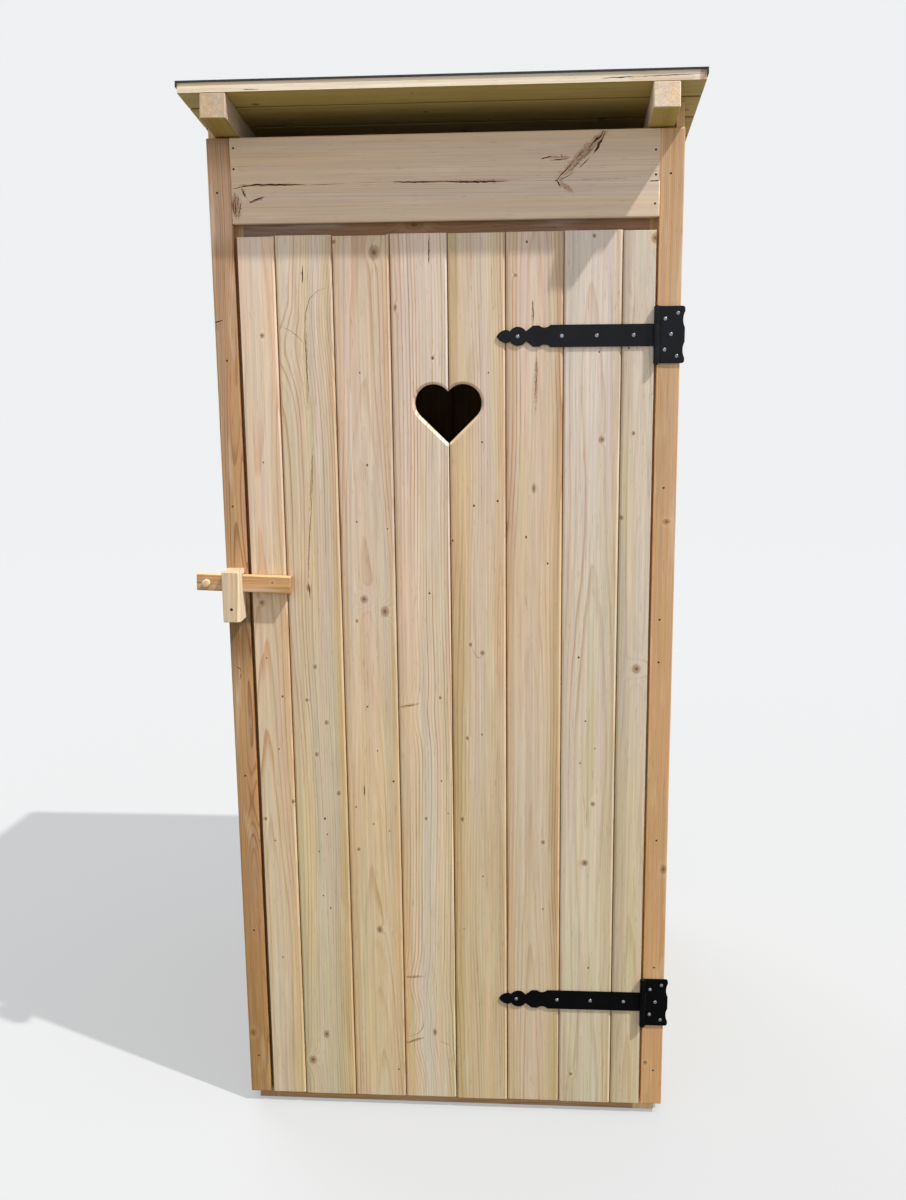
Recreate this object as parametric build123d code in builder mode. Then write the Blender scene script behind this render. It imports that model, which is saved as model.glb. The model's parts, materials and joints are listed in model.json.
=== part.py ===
from build123d import *
import os
from math import ceil, cos, radians, sin, tan

# A garden outhouse of tongue-and-groove boards on a post frame, with a lean-to roof that falls to
# the back, a ledged door on two strap hinges and a sliding wooden bolt. Millimetres, +Z up. The
# origin is on the ground under the middle of the frame, and the door faces -Y.

# Overall
width = 900.0
depth = 1000.0
front_height = 2031.0  # ground to the rafters' underside, at the front of the front posts
roof_pitch = 9.25  # degrees, falling to the back

# Frame timber
post_size = 45.0
rail_height = 45.0
rafter_width = 48.0
rafter_height = 47.0
rafter_shift_right = 4.0  # how far the right one stands in from its wall
mid_rail_height = 1000.0  # ground to the underside of the middle rails
header_rail_cover = 22.0  # how far the header rail reaches below the top of the door
edge_break = 1.5  # on the planed pieces that are seen: trims, header, ledges and rafters

# Tongue-and-groove boards
board_thickness = 15.0
board_cover = 111.0
board_gap = 1.0
board_bevel = 4.0
tongue_length = 6.0
tongue_thickness = 4.0
tongue_play = 0.3
groove_spare = 1.0

# Trims and cladding
trim_width = 44.0
header_width = 158.0
cladding_bottom = 15.0
trim_bottom = 25.0

# Floor
floor_thickness = 18.0
floor_board_width = 118.0
floor_board_gap = 3.0
notch_gap = 1.0

# Door
door_bottom = 25.0
door_gap_top = 22.0
door_gap_latch = 7.5
door_gap_hinge = 5.0
door_stop_gap = 5.0
full_door_boards = 6
latch_side_extra = 9.5  # how much wider the board at the bolt is than the one at the hinges
board_end_waste = (  # cut off the top and the bottom of each door board, from the bolt side
    (1.5, 1.0), (0.0, 0.0), (2.5, 0.5), (0.0, 1.5), (1.0, 0.0), (0.5, 1.0), (0.0, 0.0), (1.5, 0.5),
)
ledge_width = 95.0
ledge_thickness = 22.0
ledge_side_gap = 11.0
upper_hinge_drop = 194.0  # from the top of the door
lower_hinge_rise = 242.0  # from the bottom of the door

# Heart cut through the two middle boards
heart_drop = 320.0  # from the top of the door to the centres of its two lobes
heart_shift = -1.5  # from the joint that it is centred on
lobe_radius = 36.5
lobe_spacing = 58.0
heart_side_angle = 44.4  # degrees from level
heart_bevel = 5.0

# Strap hinges
strap_length = 305.0
strap_width = 42.0
strap_thickness = 3.0
barrel_radius = 6.0
barrel_shift = 1.5  # from the middle of the gap between door and trim
pin_radius = 3.0
pin_clearance = 0.05
pin_tail = 3.0
pin_head_radius = 4.2
pin_head_height = 1.0
knuckle_gap = 0.5
plate_reach = 53.0
plate_height = 107.0
plate_notch_gap = 1.0  # between the plate and the strap's knuckle
plate_wave = 3.5
plate_corner = 5.0

# Sliding bolt and its keeper
bar_length = 192.0
bar_height = 33.5
bar_thickness = 20.0
bar_lap = 83.5  # how far it reaches across the door
bar_level = 1175.0  # ground to its middle
bar_tilt = 2.0  # degrees, its outer end higher
bar_bevel = 1.2
bar_face_gap = 1.5
slot_clearance = 0.3
keeper_width = 34.0
keeper_height = 102.0
keeper_depth = 54.0
keeper_inset = 3.0  # from the trim's outer edge
keeper_above = 11.0  # wood over the slot
keeper_bevel = 1.0
keeper_taper = 7.0  # cut off the front edge beside the door, at its foot
peg_radius = 7.5
peg_length = 12.0
peg_inset = 21.0  # from the bar's outer end

# Roof
roof_thickness = 18.0
roof_front_board = 83.0  # ripped narrower than the others
roof_overhang_front = 89.0
roof_overhang_back = 75.0  # at least, as the other roof boards are whole
roof_overhang_side = 26.0
felt_thickness = 3.0
felt_lap = 3.0
felt_turned_down = 8.0  # over the ends of the roof boards

# Places that follow from the sizes above
trim_thickness = board_thickness + door_stop_gap
front = -depth / 2
back = depth / 2
frame_front = front + trim_thickness
frame_back = back - board_thickness
frame_side = width / 2 - board_thickness
post_inside = frame_side - post_size
opening_side = width / 2 - trim_width
header_bottom = front_height - header_width
door_top = header_bottom - door_gap_top
door_hinge_edge = opening_side - door_gap_hinge
door_latch_edge = -opening_side + door_gap_latch
door_width = door_hinge_edge - door_latch_edge
door_back = front + board_thickness
hinge_side_board = (door_width - full_door_boards * board_cover - latch_side_extra) / 2
upper_hinge_height = door_top - upper_hinge_drop
lower_hinge_height = door_bottom + lower_hinge_rise
heart_height = door_top - heart_drop
header_rail_bottom = door_top - header_rail_cover

pitch = radians(roof_pitch)
roof_normal = (0, sin(pitch), cos(pitch))
roof_fall = (0, cos(pitch), -sin(pitch))


def rafter_underside(y):
    """Height of the rafters' underside at a distance y from the middle."""
    return front_height - (y - frame_front) * tan(pitch)


roof_start = front - roof_overhang_front - rafter_height * sin(pitch)
roof_needed = (back + roof_overhang_back - roof_start) / cos(pitch)
roof_boards = 1 + ceil((roof_needed - roof_front_board) / board_cover)
roof_length = (roof_boards - 1) * board_cover + roof_front_board
roof_plane = Plane(
    origin=(0, roof_start, rafter_underside(roof_start)), x_dir=(1, 0, 0), z_dir=roof_normal
)
deck_plane = roof_plane.offset(rafter_height)
felt_plane = deck_plane.offset(roof_thickness)
back_wall_top = rafter_underside(back)

parts = {}


def keep(name, piece):
    """Label a finished piece and keep it under its own name."""
    piece.part.label = name
    parts[name] = piece.part


def timber(x, y, z, planed=False):
    """A straight piece of timber between two values along each axis."""
    with BuildPart() as piece:
        with BuildSketch(Plane.XY.offset(z[0])):
            with Locations((sum(x) / 2, sum(y) / 2)):
                Rectangle(x[1] - x[0], y[1] - y[0])
        extrude(amount=z[1] - z[0])
        if planed:
            chamfer(piece.edges(), edge_break)
    return piece


def board_outline(start, face_width, grooved, tongued, thickness=board_thickness):
    """Section of one board: x across its face, y from its back to its face."""
    low = (thickness - tongue_thickness) / 2
    high = low + tongue_thickness
    end = start + face_width
    groove = start + tongue_length - board_gap + groove_spare
    tongue = end + tongue_length
    nose = thickness - board_bevel
    left = [(start, 0), (start, thickness)]
    right = [(end, thickness), (end, 0)]
    if grooved:
        left = [
            (start, 0),
            (start, low - tongue_play),
            (groove, low - tongue_play),
            (groove, high + tongue_play),
            (start, high + tongue_play),
            (start, nose),
            (start + board_bevel, thickness),
        ]
    if tongued:
        right = [
            (end - board_bevel, thickness),
            (end, nose),
            (end, high),
            (tongue, high),
            (tongue, low),
            (end, low),
            (end, 0),
        ]
    return left + right


def board_run(total, first, count):
    """Where each board of a run starts, how wide its face is, and its kinds of edge."""
    starts = [0.0] + [first + index * board_cover for index in range(count - 1)]
    ends = [start - board_gap for start in starts[1:]] + [total]
    return [
        (start, end - start, index > 0, index < count - 1)
        for index, (start, end) in enumerate(zip(starts, ends))
    ]


def even_run(total):
    """A run whose first and last boards are ripped to the same width."""
    whole = int(total // board_cover) - 1
    return board_run(total, (total - whole * board_cover) / 2, whole + 2)


def board_section(outline):
    """The filled section of one board."""
    with BuildSketch() as section:
        with BuildLine():
            Polyline(*outline, close=True)
        make_face()
    return section.sketch


# Frame: four posts, cut to the roof's slope, and the rails between them
left_post = (-frame_side, -post_inside)
right_post = (post_inside, frame_side)
front_post = (frame_front, frame_front + post_size)
back_post = (frame_back - post_size, frame_back)
between_posts_x = (-post_inside, post_inside)
between_posts_y = (front_post[1], back_post[0])

for name, x, y in (
    ("post_front_left", left_post, front_post),
    ("post_front_right", right_post, front_post),
    ("post_back_left", left_post, back_post),
    ("post_back_right", right_post, back_post),
):
    with BuildPart() as post:
        with BuildSketch():
            with Locations((sum(x) / 2, sum(y) / 2)):
                Rectangle(post_size, post_size)
        extrude(amount=front_height + post_size)
        split(bisect_by=roof_plane, keep=Keep.BOTTOM)
    keep(name, post)

rail_on_ground = (0, rail_height)
mid_rail = (mid_rail_height, mid_rail_height + rail_height)
back_top_rail = (back_wall_top - rail_height, back_wall_top)
header_rail = (header_rail_bottom, header_bottom + header_rail_cover)

for name, x, y, z in (
    ("sill_rail", between_posts_x, front_post, rail_on_ground),
    ("bottom_rail_left", left_post, between_posts_y, rail_on_ground),
    ("bottom_rail_right", right_post, between_posts_y, rail_on_ground),
    ("bottom_rail_back", between_posts_x, back_post, rail_on_ground),
    ("mid_rail_left", left_post, between_posts_y, mid_rail),
    ("mid_rail_right", right_post, between_posts_y, mid_rail),
    ("mid_rail_back", between_posts_x, back_post, mid_rail),
    ("back_top_rail", between_posts_x, back_post, back_top_rail),
    ("header_rail", between_posts_x, front_post, header_rail),
    ("floor_joist", (-post_size / 2, post_size / 2), between_posts_y, rail_on_ground),
):
    keep(name, timber(x, y, z))

# Trims down both front corners and the header board between them
left_trim = (-width / 2, -opening_side)
right_trim = (opening_side, width / 2)
trim_layer = (front, frame_front)
trim_z = (trim_bottom, front_height)
keep("front_trim_left", timber(left_trim, trim_layer, trim_z, planed=True))
keep("front_trim_right", timber(right_trim, trim_layer, trim_z, planed=True))
header_x = (-opening_side, opening_side)
header_z = (header_bottom, front_height)
keep("header_board", timber(header_x, trim_layer, header_z, planed=True))

# Floor boards from side to side, the first and last notched round the posts
floor_depth = frame_back - frame_front
floor_count = round((floor_depth + floor_board_gap) / (floor_board_width + floor_board_gap))
floor_pitch = (floor_depth + floor_board_gap) / floor_count
with BuildPart() as floor_boards:
    with BuildSketch(Plane.XY.offset(rail_height)):
        with Locations((0, (frame_front + frame_back) / 2)):
            with GridLocations(0, floor_pitch, 1, floor_count):
                Rectangle(2 * (frame_side - notch_gap), floor_pitch - floor_board_gap)
        for x in (sum(left_post) / 2, sum(right_post) / 2):
            for y in (sum(front_post) / 2, sum(back_post) / 2):
                with Locations((x, y)):
                    Rectangle(
                        post_size + 2 * notch_gap, post_size + 2 * notch_gap, mode=Mode.SUBTRACT
                    )
    extrude(amount=floor_thickness)
keep("floor_boards", floor_boards)

# Side walls: upright boards that rise past the rafters to the roof boards
wall_run = even_run(frame_back - frame_front)
for name, origin, across in (
    ("left_wall", (-frame_side, frame_front, cladding_bottom), (0, 1, 0)),
    ("right_wall", (frame_side, frame_back, cladding_bottom), (0, -1, 0)),
):
    with BuildPart() as wall:
        for board in wall_run:
            with BuildSketch(Plane(origin=origin, x_dir=across, z_dir=(0, 0, 1))):
                add(board_section(board_outline(*board)))
            extrude(amount=front_height + rafter_height)
        split(bisect_by=deck_plane, keep=Keep.BOTTOM)
    keep(name, wall)

# Back wall: upright boards across the whole width, up to the rafters
with BuildPart() as back_wall:
    for board in even_run(width):
        with BuildSketch(Plane(origin=(-width / 2, frame_back, cladding_bottom))):
            add(board_section(board_outline(*board)))
        extrude(amount=back_wall_top - cladding_bottom)
keep("back_wall", back_wall)

# Roof: two rafters on the posts, boards across them and felt on top
for name, x in (
    ("rafter_left", rafter_width / 2 - frame_side),
    ("rafter_right", frame_side - rafter_width / 2 - rafter_shift_right),
):
    with BuildPart() as rafter:
        with BuildSketch(roof_plane):
            with Locations((x, roof_length / 2)):
                Rectangle(rafter_width, roof_length)
        extrude(amount=rafter_height)
        chamfer(rafter.edges(), edge_break)
    keep(name, rafter)

roof_side = width / 2 + roof_overhang_side
deck_face_down = Plane(
    origin=felt_plane.origin - Vector(roof_side, 0, 0),
    x_dir=tuple(-value for value in roof_fall),
    z_dir=(1, 0, 0),
)
with BuildPart() as roof_deck:
    for board in board_run(roof_length, board_cover, roof_boards):
        start, face_width, grooved, tongued = board
        with BuildSketch(deck_face_down):
            outline = board_outline(start - roof_length, face_width, grooved, tongued, roof_thickness)
            add(board_section(outline))
        extrude(amount=2 * roof_side)
keep("roof_deck", roof_deck)

with BuildPart() as roof_felt:
    with BuildSketch(felt_plane):
        with Locations((0, roof_length / 2)):
            Rectangle(2 * (roof_side + felt_lap), roof_length + 2 * felt_lap)
    extrude(amount=felt_thickness)
    with BuildSketch(felt_plane):
        with Locations((0, roof_length / 2)):
            with GridLocations(2 * roof_side + felt_lap, 0, 2, 1):
                Rectangle(felt_lap, roof_length + 2 * felt_lap)
    extrude(amount=-felt_turned_down)
keep("roof_felt", roof_felt)

# Door: upright boards, counted from the bolt side, with a heart through the two middle ones
door_run = board_run(door_width, hinge_side_board, full_door_boards + 2)
door_plane = Plane(
    origin=(door_hinge_edge, door_back, door_bottom), x_dir=(-1, 0, 0), z_dir=(0, 0, 1)
)
middle = len(door_run) // 2
heart_x = door_hinge_edge - door_run[middle][0] + board_gap / 2 + heart_shift
heart_angle = radians(heart_side_angle)


def heart_section(grow):
    """A heart of two round lobes and two straight sides, its outline moved out by grow."""
    radius = lobe_radius + grow
    centre = lobe_spacing / 2
    tip = (0, -(radius + centre * sin(heart_angle)) / cos(heart_angle))
    side_end = (centre + radius * sin(heart_angle), -radius * cos(heart_angle))
    lobe_top = (centre, radius)
    notch = (0, (radius**2 - centre**2) ** 0.5)
    with BuildSketch() as section:
        with BuildLine():
            Line(tip, side_end)
            ThreePointArc(side_end, lobe_top, notch)
            mirror(about=Plane.YZ)
        make_face()
    return section.sketch


heart_face = Plane(origin=(heart_x, front, heart_height), x_dir=(1, 0, 0), z_dir=(0, -1, 0))
with BuildPart() as heart:
    with BuildSketch(heart_face.offset(-heart_bevel)):
        add(heart_section(0))
    with BuildSketch(heart_face):
        add(heart_section(heart_bevel))
    loft(ruled=True)
    with BuildSketch(heart_face.offset(-heart_bevel)):
        add(heart_section(0))
    extrude(amount=heart_bevel - 2 * board_thickness)

for index, (board, waste) in enumerate(zip(reversed(door_run), board_end_waste)):
    top_waste, bottom_waste = waste
    with BuildPart() as door_board:
        with BuildSketch(door_plane.offset(bottom_waste)):
            add(board_section(board_outline(*board)))
        extrude(amount=door_top - door_bottom - top_waste - bottom_waste)
        if index in (middle - 1, middle):
            add(heart.part, mode=Mode.SUBTRACT)
    keep(f"door_board_{index + 1}", door_board)

# Ledges behind the boards, at the height of the hinges and clear of the posts
ledge_x = (-post_inside + ledge_side_gap, post_inside - ledge_side_gap)
ledge_y = (door_back, door_back + ledge_thickness)
for name, height in (
    ("door_ledge_upper", upper_hinge_height),
    ("door_ledge_lower", lower_hinge_height),
):
    ledge_z = (height - ledge_width / 2, height + ledge_width / 2)
    keep(name, timber(ledge_x, ledge_y, ledge_z, planed=True))

# Strap hinges: a strap with a worked tip on the door, a plate on the trim and a pin
barrel_x = opening_side - door_gap_hinge / 2 + barrel_shift
barrel_y = front - barrel_radius
strap_half = strap_width / 2
knuckle_half = strap_half + knuckle_gap
plate_half = plate_height / 2


def strap_section():
    """Strap seen from the front, from its pointed leaf to the middle of the barrel."""
    disc = 41.0
    disc_radius = 18.0
    neck = 9.5
    reach = (disc_radius**2 - neck**2) ** 0.5
    leaf = (14.0, 11.5)
    lobe = (70.0, strap_half - 1)
    lobe_end = (82.0, strap_half - 1)
    dip = (92.0, strap_half - 5)
    shoulder = (103.0, strap_half)
    with BuildSketch() as section:
        with BuildLine():
            ThreePointArc((0, 0), (6, 7.5), leaf)
            ThreePointArc(leaf, (21, 12), (disc - reach, neck))
            ThreePointArc((disc - reach, neck), (disc, disc_radius), (disc + reach, neck))
            Line((disc + reach, neck), lobe)
            Line(lobe, lobe_end)
            ThreePointArc(lobe_end, dip, shoulder)
            Line(shoulder, (strap_length, strap_half))
            Line((strap_length, strap_half), (strap_length, 0))
            mirror(about=Plane.XZ)
        make_face()
    return section.sketch


def plate_section():
    """Plate seen from the front: square at the barrel, two shallow waves at its outer edge."""
    edge = plate_reach
    bulge = plate_half / 4
    corner = (edge - plate_corner, plate_half)
    corner_end = (edge, plate_half - plate_corner)
    wave_start = (edge, plate_half - 2 * plate_corner)
    wave_middle = (edge - plate_wave, (plate_half - 2 * plate_corner + bulge) / 2)
    with BuildSketch() as section:
        with BuildLine():
            Polyline((0, 0), (0, plate_half), corner)
            RadiusArc(corner, corner_end, plate_corner)
            Line(corner_end, wave_start)
            ThreePointArc(wave_start, wave_middle, (edge, bulge))
            Line((edge, bulge), (edge, 0))
            mirror(about=Plane.XZ)
        make_face()
    return section.sketch


for place, height in (("upper", upper_hinge_height), ("lower", lower_hinge_height)):
    axis_foot = Plane(origin=(barrel_x, barrel_y, height))
    strap_face = Plane(
        origin=(barrel_x - strap_length, front, height), x_dir=(1, 0, 0), z_dir=(0, -1, 0)
    )
    with BuildPart() as strap:
        with BuildSketch(strap_face):
            add(strap_section())
        extrude(amount=strap_thickness)
        with BuildSketch(axis_foot.offset(-strap_half)):
            Circle(barrel_radius)
        extrude(amount=strap_width)
        with BuildSketch(axis_foot.offset(-strap_half)):
            Circle(pin_radius + pin_clearance)
        extrude(amount=strap_width, mode=Mode.SUBTRACT)
    keep(f"hinge_strap_{place}", strap)

    plate_face = Plane(origin=(barrel_x, front, height), x_dir=(1, 0, 0), z_dir=(0, -1, 0))
    knuckle = plate_half - knuckle_half
    with BuildPart() as plate:
        with BuildSketch(plate_face):
            add(plate_section())
            Rectangle(
                2 * (barrel_radius + plate_notch_gap), 2 * knuckle_half, mode=Mode.SUBTRACT
            )
        extrude(amount=strap_thickness)
        with BuildSketch(axis_foot.offset(-plate_half), axis_foot.offset(knuckle_half)):
            Circle(barrel_radius)
        extrude(amount=knuckle)
        with BuildSketch(axis_foot.offset(-plate_half)):
            Circle(pin_radius + pin_clearance)
        extrude(amount=plate_height, mode=Mode.SUBTRACT)
    keep(f"hinge_plate_{place}", plate)

with BuildPart() as hinge_pins:
    for height in (upper_hinge_height, lower_hinge_height):
        axis_foot = Plane(origin=(barrel_x, barrel_y, height))
        with BuildSketch(axis_foot.offset(-plate_half - pin_tail)):
            Circle(pin_radius)
        extrude(amount=plate_height + pin_tail)
        with BuildSketch(axis_foot.offset(plate_half)):
            Circle(pin_head_radius)
        extrude(amount=pin_head_height)
keep("hinge_pins", hinge_pins)

# Sliding bolt: a bar that hangs a little askew in the slot of a block on the left trim
bar_middle = door_latch_edge + bar_lap - bar_length / 2
keeper_x = (-width / 2 + keeper_inset, -width / 2 + keeper_inset + keeper_width)
slot_half = bar_height / 2 + slot_clearance + keeper_width / 2 * tan(radians(bar_tilt))
slot_depth = bar_face_gap + bar_thickness + slot_clearance
slot_middle = bar_level + (bar_middle - sum(keeper_x) / 2) * tan(radians(bar_tilt))
keeper_top = slot_middle + slot_half + keeper_above
with BuildPart() as latch_keeper:
    with BuildSketch(Plane.XY.offset(keeper_top - keeper_height)):
        with Locations((sum(keeper_x) / 2, front - keeper_depth / 2)):
            Rectangle(keeper_width, keeper_depth)
    extrude(amount=keeper_height)
    chamfer(latch_keeper.faces().sort_by(Axis.Y)[0].edges(), keeper_bevel)
    split(
        bisect_by=Plane(
            origin=(keeper_x[1], front - keeper_depth, keeper_top),
            z_dir=(keeper_height, -keeper_height, -keeper_taper),
        ),
        keep=Keep.BOTTOM,
    )
    with BuildSketch(Plane.YZ.offset(keeper_x[0])):
        with Locations((front - slot_depth / 2, slot_middle)):
            Rectangle(slot_depth, 2 * slot_half)
    extrude(amount=keeper_width, mode=Mode.SUBTRACT)
keep("latch_keeper", latch_keeper)

bar_plane = Plane(
    origin=(bar_middle, front - bar_face_gap, bar_level),
    x_dir=(cos(radians(bar_tilt)), 0, -sin(radians(bar_tilt))),
    z_dir=(0, -1, 0),
)
peg_place = (-bar_length / 2 + peg_inset, 0)
with BuildPart() as latch_bar:
    with BuildSketch(bar_plane):
        Rectangle(bar_length, bar_height)
    extrude(amount=bar_thickness)
    chamfer(latch_bar.faces().sort_by(Axis.Y)[0].edges(), bar_bevel)
    with BuildSketch(bar_plane):
        with Locations(peg_place):
            Circle(peg_radius)
    extrude(amount=bar_thickness, mode=Mode.SUBTRACT)
keep("latch_bar", latch_bar)

with BuildPart() as latch_peg:
    with BuildSketch(bar_plane):
        with Locations(peg_place):
            Circle(peg_radius)
    extrude(amount=bar_thickness + peg_length)
keep("latch_peg", latch_peg)

os.makedirs("parts", exist_ok=True)
for name, solid in parts.items():
    export_step(solid, f"parts/{name}.step")
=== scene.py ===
import json
import math
import random

import bmesh
import bpy
from mathutils import Matrix, Vector


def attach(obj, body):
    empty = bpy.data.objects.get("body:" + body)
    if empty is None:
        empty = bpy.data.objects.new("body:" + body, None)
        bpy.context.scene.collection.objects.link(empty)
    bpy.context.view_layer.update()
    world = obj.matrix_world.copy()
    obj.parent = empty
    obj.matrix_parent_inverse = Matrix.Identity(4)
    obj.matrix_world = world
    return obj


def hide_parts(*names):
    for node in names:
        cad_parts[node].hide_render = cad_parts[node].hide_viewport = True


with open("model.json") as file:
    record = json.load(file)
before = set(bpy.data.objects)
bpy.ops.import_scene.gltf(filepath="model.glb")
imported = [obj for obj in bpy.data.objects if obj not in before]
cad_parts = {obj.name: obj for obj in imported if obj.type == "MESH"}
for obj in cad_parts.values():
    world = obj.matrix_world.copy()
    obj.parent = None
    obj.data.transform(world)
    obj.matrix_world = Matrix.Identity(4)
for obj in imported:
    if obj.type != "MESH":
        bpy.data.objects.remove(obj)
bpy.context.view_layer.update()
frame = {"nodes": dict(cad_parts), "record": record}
nodes = frame["nodes"]
rng = random.Random(7)

MM = 0.001
# Width that one cladding board covers, and the heights of the two hinges, in mm
COVER = 111
UPPER_HINGE = 1657.0
LOWER_HINGE = 267.0
# Places of faces in y, in mm: door, trims and header; straps; keeper; front edge of the roof boards
FRONT = -500.0
STRAP_FACE = -503
KEEPER_FACE = -554
DECK_FACE = -587.6
# Outer faces of the side walls in x and of the back wall in y, in mm
SIDE_FACE = 450
BACK_FACE = 500
# Radii of the knots that turn the grain beside them, in mm, and a distance in radii beyond any mark
TURNING_KNOTS = (6.5, 8.2)
BEYOND = 9.0
# Distance from a joint, in metres, over which a board's edge is tinted, and the tint of the gap
EDGE_REACH = (0.026, 0.008)
GAP_TINT = (0.36, 0.27, 0.2)
# Slope of the roof, in radians
PITCH = math.radians(9.25)
# A tint that changes nothing
WHITE = (1.0, 1.0, 1.0, 1.0)
# Tones of the ground as it lights the part and as it shows, and of the surround
GROUND_LIT = (0.18, 0.18, 0.15, 1.0)
GROUND_SHOWN = (0.42, 0.425, 0.43, 1.0)
SURROUND = (0.86, 0.875, 0.885, 1.0)


# Shader graphs

class Graph:
    """Adds nodes to one tree. A value may be a number, a tuple or another node's output."""

    def __init__(self, tree):
        self.tree = tree

    def add(self, kind, inputs=(), **settings):
        inputs = dict(inputs)
        node = self.tree.nodes.new("ShaderNode" + kind)
        if kind == "Group":
            node.node_tree = inputs.pop("tree")
        for key, value in settings.items():
            setattr(node, key, value)
        for key, value in inputs.items():
            if isinstance(value, bpy.types.NodeSocket):
                self.tree.links.new(value, node.inputs[key])
            else:
                node.inputs[key].default_value = value
        return node

    def math(self, operation, *values):
        return self.add("Math", enumerate(values), operation=operation).outputs[0]

    def vector(self, operation, *values):
        node = self.add("VectorMath", enumerate(values), operation=operation)
        return node.outputs[1 if operation in ("LENGTH", "DOT_PRODUCT") else 0]

    def mix(self, factor, first, second):
        return self.add("Mix", {0: factor, 6: first, 7: second}, data_type="RGBA").outputs[2]

    def step(self, value, low, high, start=0.0, end=1.0):
        inputs = enumerate((value, low, high, start, end))
        return self.add("MapRange", inputs, interpolation_type="SMOOTHSTEP").outputs[0]

    def noise(self, vector, scale=1.0, detail=2.0, coloured=False):
        inputs = {"Vector": vector, "Scale": scale, "Detail": detail}
        return self.add("TexNoise", inputs).outputs[1 if coloured else 0]

    def join(self, x=0.0, y=0.0, z=0.0):
        return self.add("CombineXYZ", enumerate((x, y, z))).outputs[0]

    def split(self, vector):
        return self.add("SeparateXYZ", {0: vector}).outputs

    def use(self, tree, inputs):
        return self.add("Group", {"tree": tree, **inputs})

    def filter(self, tint, factor, through):
        """The tint seen through a coloured filter, where the factor is 1."""
        seen = self.mix(factor, WHITE, (*through, 1.0))
        return self.vector("MULTIPLY", tint, seen)


def colour(red, green, blue):
    """An sRGB colour, 0 to 255, as the linear colour that a socket takes."""
    return tuple(
        c / 12.92 if c <= 0.04045 else ((c + 0.055) / 1.055) ** 2.4
        for c in (red / 255, green / 255, blue / 255)
    ) + (1.0,)


def make_group(name, inputs, outputs):
    """An empty node group, its graph, and the outputs of its input node by name."""
    tree = bpy.data.node_groups.new(name, "ShaderNodeTree")
    kinds = {"f": "NodeSocketFloat", "v": "NodeSocketVector", "c": "NodeSocketColor"}
    for label, kind in inputs:
        tree.interface.new_socket(label, in_out="INPUT", socket_type=kinds[kind])
    for label, kind in outputs:
        tree.interface.new_socket(label, in_out="OUTPUT", socket_type=kinds[kind])
    graph = Graph(tree)
    entry = tree.nodes.new("NodeGroupInput")
    return tree, graph, {label: entry.outputs[label] for label, _ in inputs}


def close_group(graph, results):
    leave = graph.tree.nodes.new("NodeGroupOutput")
    for label, value in results.items():
        graph.tree.links.new(value, leave.inputs[label])


# Pine: year rings round a wandering pith, bent round knots, with fibre, streaks and patches

pine_tree, g, given = make_group(
    "pine",
    (("Place", "v"), ("Seed", "f"), ("Pith", "v"), ("Lean", "v"), ("Spacing", "f"), ("Knot", "f"),
     ("Spike", "f"), ("Bend", "f"), ("Wander", "f"), ("End", "f"), ("Early", "c"), ("Late", "c"),
     ("Strength", "f"), ("Mottle", "f")),
    (("Colour", "c"), ("Rough", "f"), ("Height", "f")),
)
place = given["Place"]
seed = given["Seed"]
knot = given["Knot"]
along = g.split(place)[2]
seeded = g.vector("ADD", place, g.vector("MULTIPLY", g.join(seed, seed, seed), (3.1, 1.7, 5.3)))


def stretched(across, length, detail=2.0, coloured=False):
    """Noise with features of these sizes in metres, across and along the grain."""
    scaled = g.vector("MULTIPLY", seeded, (1 / across, 1 / across, 1 / length))
    return g.noise(scaled, 1.0, detail, coloured)


wander = g.vector("SUBTRACT", stretched(0.5, 0.9, 1.0, True), (0.5, 0.5, 0.5))
wander = g.vector("MULTIPLY", wander, g.join(given["Wander"], given["Wander"], 0.0))
pith = g.vector("MULTIPLY_ADD", given["Lean"], g.join(along, along, along), given["Pith"])
arm = g.vector("SUBTRACT", place, pith)
arm = g.vector("MULTIPLY_ADD", wander, (0.05, 0.03, 0.0), arm)
radius = g.vector("LENGTH", g.vector("MULTIPLY", arm, (1.0, 1.0, 0.0)))
bend = given["Bend"]
bulge = g.math("EXPONENT", g.math("MULTIPLY", g.math("MULTIPLY", bend, bend), -0.16))
dimple = g.math("EXPONENT", g.math("MULTIPLY", g.math("MULTIPLY", knot, knot), -0.35))
wobble = g.math("MULTIPLY_ADD", stretched(0.035, 0.35, 2.0), 1.3, -0.65)
rings = g.math("MULTIPLY_ADD", bulge, 2.4, g.math("DIVIDE", radius, given["Spacing"]))
rings = g.math("MULTIPLY_ADD", dimple, 0.7, rings)
rings = g.math("ADD", rings, wobble)
year = g.math("FLOOR", rings)
part = g.math("FRACT", rings)
late = g.math("MULTIPLY", g.step(part, 0.52, 0.93), g.step(part, 1.0, 0.95))
chance = g.add("TexWhiteNoise", {"W": g.math("ADD", year, seed)}, noise_dimensions="1D").outputs[0]
late = g.math("MULTIPLY", late, g.math("MULTIPLY_ADD", chance, 0.75, 0.25))
late = g.math("MULTIPLY", late, g.step(stretched(0.05, 0.6, 2.0), 0.3, 0.65, 0.15, 1.0))
fibre = stretched(0.0018, 0.09, 2.0)
line = stretched(0.0045, 0.5, 1.0)
streak = stretched(0.011, 0.8, 2.0)
patch = stretched(0.12, 0.6, 2.0)

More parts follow.
